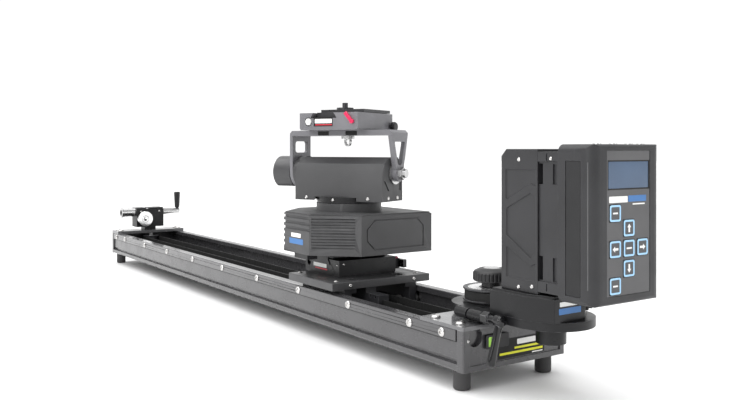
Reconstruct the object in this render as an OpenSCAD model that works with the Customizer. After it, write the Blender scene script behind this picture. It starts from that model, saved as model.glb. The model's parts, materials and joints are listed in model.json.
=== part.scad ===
// Motorised camera slider: a wide roller bed with a belt-driven carriage, a pan and tilt head,
// two quick releases and a key-pad controller. Units are millimetres.
// The origin is the mouth of the tripod socket, at the centre of the bed's underside.
// +X runs along the bed to the drive end, -Y is the operator's side, +Z is up.

/* [Bed] */
// Overall length of the bed, over both end caps
bed_len = 960; // [940:10:1100]
// Overall width of the bed
bed_w = 120; // [120:1:124]
// Height of the side rails
rail_h = 34.7; // [34.7:0.1:36]
// Height of the rubber feet under the bed
foot_h = 17.6; // [10:0.1:30]
// Radius of each rubber foot
foot_r = 7.5; // [6:0.1:9]
// Distance between the screws of the wear strips
screw_pitch = 101.6; // [95:0.1:102]

/* [Belt drive] */
// Distance of the belt pulleys from the middle of the bed
pulley_x = 449; // [440:1:449]
// Inner radius of the belt where it wraps a pulley
belt_r = 12; // [12:0.1:13]
// Thickness of the belts
belt_t = 1.5; // [1:0.1:1.8]
// Lowest level of the main belt
belt_z = 21; // [21:0.1:22]
// Width of the main belt
belt_w = 7; // [5:0.1:7]

/* [Carriage] */
// Distance of the carriage's middle from the middle of the bed
carriage_x = 233.5; // [0:0.5:240]
// Length of the carriage plate along the bed
carriage_len = 93; // [90:1:100]
// Width of the carriage plate
carriage_w = 126; // [120:1:130]
// Radius of the carriage rollers
roller_r = 11; // [10.6:0.1:11]

/* [Head] */
// Distance of the pan axis from the middle of the bed
pan_x = 213; // [200:1:220]
// Angle that the head is turned to about the pan axis
head_yaw = 25; // [0:1:360]
// Height of the tilt axis
tilt_z = 158; // [158:1:160]
// Width of the yoke's arms at the bridge
yoke_w = 36; // [34:1:37]

/* [Controller] */
// Width of the hand controller
pad_w = 79; // [78:0.5:80]
// Lowest level of the hand controller
pad_z0 = 71; // [70.5:0.5:71]
// Highest level of the hand controller
pad_z1 = 188; // [188:1:192]
// Side of each square key
key_side = 12.3; // [11:0.1:12.6]
// How far the keys stand out of the front
key_proud = 0.6; // [0.4:0.1:1]

/* [Hidden] */
$fn = 64;

run_gap = 0.05;                       // radial clearance of a running fit
half_len = bed_len / 2;
half_w = bed_w / 2;
cap_t = 8;                            // thickness of an end cap
cap_corner = 1.5;                     // radius of its upright corners
rail_end = half_len - cap_t;          // the rails stop against the end caps
flange_h = 6;                         // bottom flange of a rail
web_out = half_w - 2;                 // outer face of a rail's web
web_in = half_w - 6;                  // inner face of a rail's web
lip_in = half_w - 12;                 // inner edge of a rail's top lip
lip_z = flange_h + 22.7;              // underside of the top lip
strip_t = 4;                          // thickness of a wear strip
strip_h = 10.2;                       // height of a wear strip
screw_z = rail_h - 5.2;               // level of the strip screws
floor_half = half_w - 20;             // the floor lies between the bottom flanges
socket_r = 3.97;                      // wall radius of the 3/8 inch tripod thread
socket_depth = 12.7;
socket_xs = [-350, 0, 350];           // the three tripod sockets
vial_r = 2.8;                         // vial of the bubble level
near_plate_t = 3.3;
far_plate_t = 4.8;
near_plate_x = half_len - 58;         // inner edge of the near top plate
far_plate_x = -half_len + 35;         // inner edge of the far top plate
plate_screw_y = half_w - 8;
near_screw_xs = [near_plate_x + 12, near_plate_x + 45];
far_screw_xs = [-half_len + 12, -half_len + 26];
near_top = rail_h + near_plate_t;
far_top = rail_h + far_plate_t;
belt_top = belt_z + belt_w;
shaft_r = 6;                          // drive shaft in its top bearing
stub_r = 5;                           // drive shaft in its lower bearing
axle_r = 4;                           // idler and roller axles
axle_tip_r = 2.6;                     // idler axle where it enters the far top plate
collar_r = 20;                        // bearing housing that the motor plate clamps
plate_z = 42;                         // underside of the motor plate
plate_top = 49;
clamp_r = 35.7;                       // round ends of the motor plate
motor_x = 516;                        // motor axis
clamp_y = -42;                        // axis of the clamp lever's bolt
clamp_z = 45.5;
bolt_r = 2.5;
box_x0 = 485.5;
box_x1 = 549;
box_half = 36;
box_top = 70;
box_wall = 3;
drum_z = 50.5;                        // underside of the input pulley
drum_r = 22.5;                        // radius of its toothed band
pinion_r = 9.5;
short_z = 52.4;                       // lowest level of the short belt
short_top = 59.6;
knob_z = 62.4;
bracket_x0 = 493;
bracket_x1 = 534;
bracket_top = 184.5;
bracket_y0 = -30;
bracket_w = 58;
mount_wall = 9;                       // wall of the controller's mount, behind its pockets
pad_y0 = -44.3;
pad_x0 = 568.5;                       // back of the controller
pad_seam = 584;                       // seam between its two shells
pad_x1 = 601.5;                       // front of the controller
pad_corner = 11;                      // radius of its upright front corners
pad_wall = 2.5;
panel_y = [-29.3, 19.6];              // recessed front panel
panel_z = [77.5, 183.5];
screen_y = [-27.8, 18.9];
screen_z = [155, 176];
key_column = -4.8;                    // middle column of keys
key_dy = 15.4;
key_dz = 14.8;
key_mid_z = 111.7;
block_x1 = -450;                      // front face of the far clamp block
block_x0 = -476;
cross_x = -462;
cross_z = 71;
handle_y = 54;                        // the handle stands on the shaft's far end
handle_stem_r = 2.6;
chrome_y = -11;
chrome_z = 59.5;
car_z = rail_h + 4.3;                 // underside of the carriage plate
car_top = car_z + 8;
car_x0 = carriage_x - carriage_len / 2;
car_x1 = carriage_x + carriage_len / 2;
roller_xs = [carriage_x - 28, carriage_x + 28];
roller_z = flange_h + 11.35;
side_out = lip_in - 1.3;              // outer face of a carriage side block
roller_y0 = side_out + 0.5;
roller_y1 = web_in - 0.3;
low_x0 = pan_x - 32;                  // lower quick release
low_x1 = pan_x + 40;
low_y0 = -38;
low_y1 = 36;
low_top = car_top + 18;
pan_z0 = 72;                          // pan base
pan_z1 = 115.5;
pan_wall = 3;
rib_pitch = 6.2;                      // the broad ribs at the pan base's front corner
collar_top = 124.7;
table_z = 125.2;                      // turntable
table_top = 131.5;
spindle_r = 12;
tilt_v = -2;                          // the tilt axis stands this far off the pan axis
body_u0 = -54;
body_u1 = 59.8;
body_z0 = 127.5;
arm_t = 4;                            // the yoke's arm at the motor cap
bolt_arm_t = 5;                       // the yoke's arm at the tilt bolt
arm_u0 = -68;
arm_u1 = 62;
yoke_u1 = arm_u1 + bolt_arm_t;
bridge_z = 199.5;
bridge_top = 205.4;
head_z = bridge_top + 0.4;            // underside of the upper quick release
head_u0 = -41;
head_u1 = 35;
head_half = 38;
head_top = head_z + 18.6;
stud_r = 3.175;                       // the camera's 1/4 inch screw
stud_len = 5.5;
cam_u = 0;
cam_v = -8;

// ---------- shared shapes ----------
module box(x0, x1, y0, y1, z0, z1) translate([x0, y0, z0]) cube([x1 - x0, y1 - y0, z1 - z0]);
module rod_x(x0, x1, y, z, r) translate([x0, y, z]) rotate([0, 90, 0]) cylinder(h = x1 - x0, r = r);
module rod_y(x, y0, y1, z, r) translate([x, y0, z]) rotate([-90, 0, 0]) cylinder(h = y1 - y0, r = r);
module rod_z(x, y, z0, z1, r) translate([x, y, z0]) cylinder(h = z1 - z0, r = r);
module both_sides() { children(); mirror([0, 1, 0]) children(); }
// A profile in Y and Z, run along X
module along_x(x0, x1) translate([x0, 0, 0]) rotate([90, 0, 90]) linear_extrude(x1 - x0) children();
// A profile in X and Z, run along Y
module along_y(y0, y1) translate([0, y1, 0]) rotate([90, 0, 0]) linear_extrude(y1 - y0) children();
// A profile in X and Y, run up Z
module up_z(z0, z1) translate([0, 0, z0]) linear_extrude(z1 - z0) children();
module round_rect(x0, x1, y0, y1, r) {
    translate([x0 + r, y0]) square([x1 - x0 - 2 * r, y1 - y0]);
    translate([x0, y0 + r]) square([x1 - x0, y1 - y0 - 2 * r]);
    for (x = [x0 + r, x1 - r], y = [y0 + r, y1 - r]) translate([x, y]) circle(r = r);
}
// The outline of a belt round two pulleys at xa and xb, with radii ra and rb
module belt_outline(xa, ra, xb, rb) {
    lean = acos((ra - rb) / (xb - xa));
    translate([xa, 0]) circle(r = ra);
    translate([xb, 0]) circle(r = rb);
    polygon([for (s = [1, -1], end = [0, 1]) let (first = (s == 1) == (end == 0))
        first ? [xa + ra * cos(lean), s * ra * sin(lean)] : [xb + rb * cos(lean), s * rb * sin(lean)]]);
}
module belt_loop(xa, ra, xb, rb, z0, z1) up_z(z0, z1) difference() {
    belt_outline(xa, ra + belt_t, xb, rb + belt_t);
    belt_outline(xa, ra, xb, rb);
}
module flanged_pulley(x, r, flange_r, z0, z1, flange_t) {
    rod_z(x, 0, z0, z1, r);
    rod_z(x, 0, z0, z0 + flange_t, flange_r);
    rod_z(x, 0, z1 - flange_t, z1, flange_r);
}
module button_screw(x, y, z, shank) {
    rod_z(x, y, z - shank, z, 2);
    translate([x, y, z]) rotate_extrude() polygon([[0, 0], [4.4, 0], [4.4, 0.9], [3.4, 2], [1.7, 2.4],
        [1.7, 1.2], [0, 1.2]]);
}
// The head turns about the pan axis: u runs along the tilt axis and v across it
module head_frame() translate([pan_x, 0, 0]) rotate([0, 0, head_yaw]) children();

// ---------- bed ----------
module rail_profile() polygon([[-half_w, 1.2], [-half_w + 1.2, 0], [-floor_half, 0], [-floor_half, flange_h],
    [-web_in, flange_h], [-web_in, lip_z], [-lip_in, lip_z], [-lip_in, rail_h - 0.8],
    [-lip_in - 0.8, rail_h], [-half_w + strip_t, rail_h], [-half_w + strip_t, rail_h - strip_h],
    [-web_out, rail_h - strip_h], [-web_out, 10], [-web_out + 2, 9.2], [-web_out + 2, 7],
    [-web_out, flange_h + 0.4], [-half_w, flange_h]]);
strip_screw_xs = concat([for (i = [-4:4]) i * screw_pitch], [-half_len + 28, half_len - 28]);

module strip_screw_bores(from, to) for (x = strip_screw_xs) rod_y(x, from, to, screw_z, 1.5);

module side_rails() color("dimgray") both_sides() difference() {
    along_x(-rail_end, rail_end) rail_profile();
    strip_screw_bores(-half_w - 1, -half_w + 6.01);
    for (x = concat(near_screw_xs, far_screw_xs)) rod_z(x, -plate_screw_y, lip_z + 1, rail_h + 1, 2);
}
module track_strips() color("gray") both_sides() difference() {
    along_x(-rail_end + 2, rail_end - 2) polygon([[-half_w, rail_h - strip_h + 0.6],
        [-half_w + 0.6, rail_h - strip_h], [-half_w + strip_t, rail_h - strip_h],
        [-half_w + strip_t, rail_h], [-half_w + 0.6, rail_h], [-half_w, rail_h - 0.6]]);
    strip_screw_bores(-half_w - 1, -half_w + strip_t + 1);
}
module strip_screw(x) translate([x, -half_w, screw_z]) rotate([90, 0, 0]) {
    translate([0, 0, -6]) cylinder(h = 6, r = 1.5);
    rotate_extrude() polygon([[0, 0], [4, 0], [4, 0.6], [3, 1.6], [1.4, 2], [1.4, 0.9], [0, 0.9]]);
}
module bed_screws() color("silver") {
    both_sides() for (x = strip_screw_xs) strip_screw(x);
    both_sides() {
        for (x = near_screw_xs) button_screw(x, -plate_screw_y, near_top, near_plate_t + 4);
        for (x = far_screw_xs) button_screw(x, -plate_screw_y, far_top, far_plate_t + 4);
    }
}
module bed_floor() color("#202020") difference() {
    union() {
        box(-rail_end, rail_end, -floor_half, floor_half, 1, 5);
        both_sides() box(-rail_end, rail_end, -32, -30, 5, 8);
        for (x = socket_xs) box(x - 25, x + 25, -18, 18, 0, 14);
        rod_z(pulley_x, 0, 5, 16, 11);
        rod_z(-pulley_x, 0, 5, 18, 9);
    }
    for (x = socket_xs) rod_z(x, 0, -1, socket_depth, socket_r);
    rod_z(pulley_x, 0, 8, 17, stub_r + run_gap);
    rod_z(-pulley_x, 0, 8, 19, axle_r);
}
// Outline of an end cap with two rounded outer corners, for the cap at +X
module cap_outline(x0) {
    translate([x0, -half_w]) square([half_len - cap_corner - x0, bed_w]);
    translate([half_len - 5, -half_w + cap_corner]) square([5, bed_w - 2 * cap_corner]);
    both_sides() translate([half_len - cap_corner, -half_w + cap_corner]) circle(r = cap_corner);
}
module end_cap_near() color("#2b2b2b") difference() {
    up_z(0, rail_h) cap_outline(rail_end);
    box(half_len - 1.2, half_len + 1, -half_w + 7, half_w - 6, 4.6, rail_h + 1);
    up_z(17, 28.5) round_rect(half_len - 5, half_len + 1, -36, -10, 1);
    rod_x(half_len - 5, half_len + 1, -46, 28, 8);
}
module end_cap_far() color("#2b2b2b") mirror([1, 0, 0]) difference() {
    up_z(0, rail_h) cap_outline(rail_end);
    box(half_len - 1.2, half_len + 1, -half_w + 7, half_w - 7, 4.6, rail_h - 4.6);
}
module top_plate_near() color("gray") difference() {
    union() {
        up_z(rail_h, near_top) cap_outline(near_plate_x);
        rod_z(pulley_x, 0, near_top, plate_top, collar_r);
    }
    rod_z(pulley_x, 0, rail_h - 1, plate_top + 1, shaft_r + run_gap);
    both_sides() for (x = near_screw_xs) rod_z(x, -plate_screw_y, rail_h - 1, near_top + 1, 2);
}
module top_plate_far() color("gray") difference() {
    up_z(rail_h, far_top) mirror([1, 0, 0]) cap_outline(-far_plate_x);
    rod_z(-pulley_x, 0, rail_h - 1, far_top + 1, axle_tip_r);
    both_sides() for (x = far_screw_xs) rod_z(x, -plate_screw_y, rail_h - 1, far_top + 1, 2);
}
module rubber_feet() color("#1a1a1a") both_sides() for (x = [-half_len + 15.4, half_len - 15.4])
    translate([x, -half_w + 11.7, -foot_h]) rotate_extrude() polygon([[0, 0], [foot_r - 1.5, 0],
        [foot_r - 0.4, 0.5], [foot_r, 1.6], [foot_r, foot_h], [0, foot_h]]);
module bubble_level() color("yellowgreen") {
    difference() {
        up_z(17, 28.5) round_rect(half_len - 5, half_len - 1.2, -36, -10, 1);
        rod_y(half_len - 2, -34, -12, 22.75, vial_r);
    }
    rod_y(half_len - 2, -34, -12, 22.75, vial_r);
}

// ---------- belt drive ----------
module drive_belt() color("#181818") belt_loop(-pulley_x, belt_r, pulley_x, belt_r, belt_z, belt_top);
module idler_axle() color("silver") {
    rod_z(-pulley_x, 0, 8, rail_h, axle_r);
    rod_z(-pulley_x, 0, rail_h, far_top, axle_tip_r);
}
module idler_pulley() color("#333333") difference() {
    flanged_pulley(-pulley_x, belt_r - 0.3, belt_r + 2, belt_z - 2, belt_top + 2, 1.5);
    rod_z(-pulley_x, 0, 0, rail_h, axle_r + run_gap);
}
module drive_shaft() color("silver") {
    rod_z(pulley_x, 0, 8.5, belt_z - 2, stub_r);
    flanged_pulley(pulley_x, belt_r - 0.3, belt_r + 2, belt_z - 2, belt_top + 2, 1.5);
    rod_z(pulley_x, 0, belt_top + 2, knob_z - 0.4, shaft_r);
    rod_z(pulley_x, 0, knob_z - 0.4, knob_z + 9, stub_r);
}
module input_pulley() color("#2f2f2f") difference() {
    flanged_pulley(pulley_x, drum_r, drum_r + 3.1, drum_z, knob_z - 0.4, 1.6);
    rod_z(pulley_x, 0, drum_z - 1, knob_z, shaft_r);
    difference() {
        rod_z(pulley_x, 0, knob_z - 1.2, knob_z, drum_r - 1);
        rod_z(pulley_x, 0, knob_z - 2, knob_z + 1, 11);
    }
}
module brake_knob() color("#262626") difference() {
    translate([pulley_x, 0, knob_z]) rotate_extrude() polygon([[0, 0], [9, 0], [9, 4], [15.6, 4.8],
        [16.8, 6], [16.8, 12], [15.4, 14], [11, 16], [8, 16.4], [7.6, 16], [0, 16]]);
    rod_z(pulley_x, 0, knob_z - 1, knob_z + 9.3, stub_r + run_gap);
    for (a = [0:12:348]) translate([pulley_x, 0, knob_z]) rotate([0, 0, a]) rod_z(17.6, 0, 4, 14, 1.3);
}
module motor_plate() color("#303030") difference() {
    union() {
        up_z(plate_z, plate_top) {
            translate([pulley_x, 0]) circle(r = clamp_r);
            translate([motor_x + 4, 0]) circle(r = clamp_r);
            translate([pulley_x, -clamp_r]) square([motor_x + 4 - pulley_x, 2 * clamp_r]);
        }
        box(452, 466.5, clamp_y, -clamp_r + 1, clamp_z - 3.5, plate_top);
        box(468.5, 484, clamp_y, -clamp_r + 1, clamp_z - 3.5, plate_top);
        rod_x(452, 466.5, clamp_y, clamp_z, 4.5);
        rod_x(468.5, 484, clamp_y, clamp_z, 4.5);
        rod_z(motor_x + 4, 0, 26, plate_z, 12.5);
    }
    rod_z(pulley_x, 0, plate_z - 1, plate_top + 1, collar_r);
    box(466.5, 468.5, -60, -4, plate_z - 8, plate_top + 1);
    rod_x(450, 486, clamp_y, clamp_z, bolt_r + run_gap);
    rod_z(motor_x, 0, 34, plate_top + 1, 3 + run_gap);
}
module clamp_lever() color("#1c1c1c") {
    rod_x(453, 484.3, clamp_y, clamp_z, bolt_r);
    translate([484.3, clamp_y, clamp_z]) rotate([0, 90, 0]) cylinder(h = 8, r = 5.2, $fn = 6);
    rod_x(492.3, 499.5, clamp_y, clamp_z, 3.2);
    rod_x(499.5, 508, clamp_y, clamp_z, 4.2);
    translate([0, clamp_y, clamp_z]) rotate([-16, 0, 0]) translate([0, -clamp_y, -clamp_z])
        along_x(501, 506.5) {
            polygon([[clamp_y - 3.4, clamp_z], [clamp_y + 3.4, clamp_z], [clamp_y + 4.2, clamp_z - 34],
                [clamp_y - 4.2, clamp_z - 34]]);
            translate([clamp_y, clamp_z - 34]) circle(r = 4.2);
        }
}
module box_outline(inset) polygon([[box_x0 + inset, -box_half + inset], [527, -box_half + inset],
    [box_x1 - inset, -27 + inset / 2], [box_x1 - inset, 8 - inset / 2], [526, box_half - inset],
    [box_x0 + inset, box_half - inset]]);
module motor_box() color("#2d2d2d") difference() {
    union() {
        up_z(plate_top, box_top - 2) box_outline(0);
        up_z(box_top - 2, box_top) box_outline(1.5);
    }
    up_z(plate_top - 1, box_top - 4) box_outline(box_wall);
    box(box_x0 - 1, box_x0 + box_wall + 1, -28, 28, plate_top - 1, 61.5);
    rod_z(motor_x, 0, box_top - 5, box_top + 1, 8);
}
module drive_motor() color("silver") difference() {
    union() {
        rod_z(motor_x, 0, 72, 168, 14.8);
        rod_z(motor_x, 0, 66.5, 72, 7.6);
        box(bracket_x0 + 2.5, motor_x - 13, -8, 8, 90, 150);
    }
    rod_z(motor_x, 0, 66, 84, 3 + run_gap);
}
module motor_pinion() color("goldenrod") {
    flanged_pulley(motor_x, pinion_r - 0.3, pinion_r + 2.4, short_z - 1.5, short_top + 1.5, 1.2);
    rod_z(motor_x, 0, 34.5, 83, 3);
}
module short_belt() color("#181818")
    belt_loop(pulley_x, drum_r + 0.3, motor_x, pinion_r, short_z, short_top);

// ---------- controller ----------
module bracket_body() color("#3a3a3a") difference() {
    along_y(bracket_y0, bracket_y0 + bracket_w) polygon([[bracket_x0, box_top], [bracket_x1, box_top],
        [bracket_x1, bracket_top], [bracket_x0 + 5.7, bracket_top], [bracket_x0, bracket_top - 5.7]]);
    box(bracket_x0 + 2.5, bracket_x1 - 2.5, bracket_y0 + 3, bracket_y0 + bracket_w - 3,
        box_top - 1, bracket_top - 7.5);
    both_faces() along_y(bracket_y0 - 1, bracket_y0 + 1) {
        polygon([[498, 168], [531.5, 168], [531.5, 155], [526, 157], [499, 143], [498, 144.5]]);
        polygon([[499, 136], [526, 149.5], [531.5, 147], [531.5, 103], [526, 97.5], [499, 114]]);
        polygon([[499, 105], [526, 91.5], [531.5, 94], [531.5, 80], [499, 80]]);
    }
}
// Repeats a cut on both long faces of the controller's bracket
module both_faces() {
    children();
    translate([0, 2 * bracket_y0 + bracket_w, 0]) mirror([0, 1, 0]) children();
}
module handset_mount() color("#353535") difference() {
    union() {
        box(bracket_x1, pad_x0, bracket_y0 + 1.5, bracket_y0 + bracket_w - 1.5, 74, 181);
        for (z = [[72.4, 81], [174.5, 182.5]])
            box(bracket_x1, pad_x0 - 4, bracket_y0, bracket_y0 + 9, z[0], z[1]);
    }
    box(bracket_x1 + 2.5, pad_x0 - 2.5, bracket_y0 + mount_wall, bracket_y0 + bracket_w - 5, 72, 183);
    for (z = [[82, 100.5], [157, 173]]) {
        box(bracket_x1 - 1, 538.2, bracket_y0 - 1, bracket_y0 + 7, z[0], z[1]);
        box(548.8, 553.2, bracket_y0 - 1, bracket_y0 + 3, z[0], z[1]);
    }
    for (z = [77, 178.3]) box(543, 544.2, bracket_y0 - 1, bracket_y0 + 0.8, z - 3, z + 3);
}
// The controller from above, with its two front corners rounded
module pad_outline(inset) {
    straight = pad_x1 - pad_corner;
    translate([pad_x0 + inset, pad_y0 + inset]) square([straight - pad_x0 - inset, pad_w - 2 * inset]);
    translate([straight - 1, pad_y0 + pad_corner]) square([pad_corner + 1 - inset, pad_w - 2 * pad_corner]);
    for (y = [pad_y0 + pad_corner, pad_y0 + pad_w - pad_corner])
        translate([straight, y]) circle(r = pad_corner - inset);
}
// The part of the controller's outer shape between two levels of X
module pad_shell(x0, x1) intersection() {
    up_z(pad_z0, pad_z1) pad_outline(0);
    along_x(x0, x1) round_rect(pad_y0, pad_y0 + pad_w, pad_z0, pad_z1, 6);
    along_y(pad_y0, pad_y0 + pad_w) {
        translate([pad_x0, pad_z0]) square([pad_x1 - 3.5 - pad_x0, pad_z1 - pad_z0]);
        translate([pad_x1 - 4, pad_z0 + 3.5]) square([4, pad_z1 - pad_z0 - 7]);
        for (z = [pad_z0 + 3.5, pad_z1 - 3.5]) translate([pad_x1 - 3.5, z]) circle(r = 3.5);
    }
}
module pad_cavity() up_z(pad_z0 + pad_wall, pad_z1 - pad_wall) pad_outline(3);
module handset_back() color("#3c3c3c") difference() {
    pad_shell(pad_x0, pad_seam);
    pad_cavity();
    for (y = [pad_y0, pad_y0 + pad_w]) box(575.6, 590, y - 0.8, y + 0.8, 77, 176);
}
module key_outline(y, z, side, r) round_rect(y - side / 2, y + side / 2, z - side / 2, z + side / 2, r);
module handset_front() color("#3c3c3c") difference() {
    pad_shell(pad_seam, pad_x1);
    pad_cavity();
    for (y = [pad_y0, pad_y0 + pad_w]) box(575.6, 590, y - 0.8, y + 0.8, 77, 176);
    box(pad_x1 - 0.5, pad_x1 + 1, panel_y[0], panel_y[1], panel_z[0], panel_z[1]);
    box(pad_seam, pad_x1 + 1, screen_y[0], screen_y[1], screen_z[0], screen_z[1]);
    along_x(pad_seam, pad_x1 + 1) for (k = KEYS) key_outline(k[0], k[1], key_side + 0.6, 2.1);
}
module lcd_screen() color("steelblue")
    box(pad_x1 - 2.6, pad_x1 - 0.8, screen_y[0], screen_y[1], screen_z[0], screen_z[1]);
// Centres of the keys in Y and Z: menu, up, left, enter, right, down, shift
KEYS = [[key_column - key_dy, key_mid_z + 26.1], [key_column, key_mid_z + key_dz],
    [key_column - key_dy, key_mid_z], [key_column, key_mid_z], [key_column + key_dy, key_mid_z],
    [key_column, key_mid_z - key_dz], [key_column - key_dy, key_mid_z - 26.7]];
module key(i) color("#202428")
    along_x(pad_x1 - 4, pad_x1 - 0.5 + key_proud) key_outline(KEYS[i][0], KEYS[i][1], key_side, 1.8);
module key_menu() key(0);
module key_up() key(1);
module key_left() key(2);
module key_enter() key(3);
module key_right() key(4);
module key_down() key(5);
module key_shift() key(6);

// ---------- far clamp ----------
module clamp_block() color("#222222") difference() {
    union() {
        box(block_x0, block_x1 - 3, -25, 24, 45, 79);
        box(block_x0, block_x1, -25, 24, 45, 76);
        box(block_x0 + 4, block_x1 - 2, -10, 10, far_top, 45);
    }
    rod_y(cross_x, -26, 25, cross_z, 7.5 + run_gap);
    box(block_x0 - 1, block_x1 + 1, -7, -2, 77, 80);
    rod_x(block_x1 - 10, block_x1 + 1, chrome_y, chrome_z, 4 + run_gap);
    rod_z(-pulley_x, 0, far_top - 1, far_top + 3, axle_tip_r + 1);
}
module cross_shaft() color("silver") {
    difference() {
        rod_y(cross_x, -49.5, 24.5, cross_z, 7.5);
        rod_y(cross_x, -50, -38, cross_z, 5);
    }
    difference() {
        rod_y(cross_x, 50.5, 57.5, cross_z, 4.6);
        rod_z(cross_x, handle_y, cross_z, cross_z + 6, handle_stem_r);
    }
    translate([cross_x, -49.5, cross_z]) rotate([-90, 0, 0]) rotate_extrude() polygon([[5, 0], [8.8, 0],
        [8.8, 2.6], [7.5, 3.6], [5, 3.6]]);
    translate([cross_x, 24.5, cross_z]) rotate([-90, 0, 0]) cylinder(h = 26, r1 = 6.2, r2 = 4.4);
}
module clamp_handle() color("#2a2a2a") translate([cross_x, handle_y, cross_z]) {
    cylinder(h = 10, r = handle_stem_r);
    translate([0, 0, 6]) cylinder(h = 27, r1 = 4.25, r2 = 5.6);
    translate([0, 0, 33]) cylinder(h = 1.6, r1 = 5.6, r2 = 4.6);
}
module chrome_knob() color("white") {
    rod_x(block_x1 - 9, block_x1 + 0.5, chrome_y, chrome_z, 4);
    translate([block_x1 + 0.5, chrome_y, chrome_z]) rotate([0, 90, 0]) rotate_extrude() polygon([[0, 0],
        [12.6, 0], [13.4, 0.8], [13.4, 5.2], [12.6, 6], [6.5, 6], [5.5, 4.4], [3.4, 4.4], [2.8, 7.4],
        [0, 7.8]]);
}

// ---------- carriage ----------
module carriage_plate() color("#333333") difference() {
    box(car_x0, car_x1, -carriage_w / 2, carriage_w / 2, car_z, car_top);
    for (x = [car_x0 + 7, car_x1 - 11], s = [-1, 1]) rod_z(x, s * 52, car_z - 1, car_top + 1, 2.6);
    up_z(car_z - 1, car_top + 1) both_sides() round_rect(car_x1 - 22, car_x1 - 8, -34, -24, 4);
}
module carriage_blocks() color("#262626") both_sides() difference() {
    union() {
        box(car_x0 + 3, car_x1 - 3, -side_out, -side_out + 9, roller_z - 9, car_z);
        box(car_x0 + 3, car_x1 - 3, -side_out, -side_out + 15, car_z - 5, car_z);
    }
    for (x = roller_xs) rod_y(x, -side_out - 1, -side_out + 10, roller_z, axle_r);
    box(carriage_x - 14, carriage_x + 14, -side_out - 1, -side_out + 10, 0, roller_z + 4);
}
module roller_axles() color("silver") both_sides() for (x = roller_xs) {
    rod_y(x, -roller_y1, -side_out + 9, roller_z, axle_r);
    rod_y(x, -side_out + 9, -side_out + 11.5, roller_z, 6.2);
}
module roller(x) difference() {
    rod_y(x, -roller_y1, -roller_y0, roller_z, roller_r);
    rod_y(x, -roller_y1 - 1, -roller_y0 + 1, roller_z, axle_r + run_gap);
    difference() {
        rod_y(x, -roller_y1 - 1, -roller_y1 + 0.5, roller_z, roller_r - 2);
        rod_y(x, -roller_y1 - 2, -roller_y1 + 1, roller_z, axle_r + 2);
    }
}
module rollers_near() color("lightgray") both_sides() roller(roller_xs[1]);
module rollers_far() color("lightgray") both_sides() roller(roller_xs[0]);
module belt_clamp() color("#202020") difference() {
    union() {
        box(car_x1 - 30, car_x1 + 19, -19, -6, belt_z - 1.5, 33);
        box(car_x1 - 30, car_x1 - 4, -19, -6, 33, car_z);
    }
    box(car_x1 - 31, car_x1 + 20, -belt_r - belt_t - 0.4, -belt_r + 0.4, belt_z - 3, belt_top + 0.6);
    for (x = [car_x1 + 4, car_x1 + 13]) rod_y(x, -20, -16, 31, 1.6);
}

// ---------- quick releases ----------
// A receiver with a dovetail slot that runs across it, and the slot in its face for the lever
module qr_receiver(x0, x1, y0, y1, z0, z1, slot_x0, slot_x1) difference() {
    box(x0, x1, y0, y1, z0, z1);
    along_y(y0 - 1, y1 + 1) polygon([[slot_x0, z1 + 1], [slot_x0, z1], [slot_x0 - 4, z1 - 6],
        [slot_x1 + 4, z1 - 6], [slot_x1, z1], [slot_x1, z1 + 1]]);
    box(x0 - 1, x0 + 1, y0 - 1, y1 + 1, z0 - 1, z0 + 1.5);
    box(x1 - 1, x1 + 1, y0 - 1, y1 + 1, z0 - 1, z0 + 1.5);
}
module qr_dovetail(y0, y1, z1, slot_x0, slot_x1, top)
    along_y(y0, y1) polygon([[slot_x0, z1], [slot_x0 - 4, z1 - 6], [slot_x1 + 4, z1 - 6], [slot_x1, z1],
        [slot_x1, top], [slot_x0, top]]);
module lower_qr_base() color("#2b2b2b") difference() {
    union() {
        qr_receiver(low_x0, low_x1, low_y0, low_y1, car_top, low_top, low_x0 + 14, low_x1 - 22);
        box(236, 250, low_y1, low_y1 + 7.6, 50.5, 62);
    }
    rod_y(243, low_y1 - 10, low_y1 + 9, 56.5, 3 + run_gap);
    rod_y(low_x0 + 8, low_y0 - 1, low_y0 + 4, 58, 4);
}
module lower_qr_plate() color("#1f1f1f") {
    qr_dovetail(low_y0 - 1, low_y1 + 1, low_top, low_x0 + 14, low_x1 - 22, low_top + 3);
    box(low_x0 - 2, low_x1 - 6, low_y0 - 4, low_y1 + 2, low_top + 3, pan_z0);
}
module lower_qr_lever() color("#181818") {
    rod_y(243, low_y1 - 9, low_y1 + 8, 56.5, 3);
    rod_y(243, low_y1 + 8, low_y1 + 12.5, 56.5, 4.6);
    box(243, 257, low_y1 + 8, low_y1 + 12.5, 52, 61);
}

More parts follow.
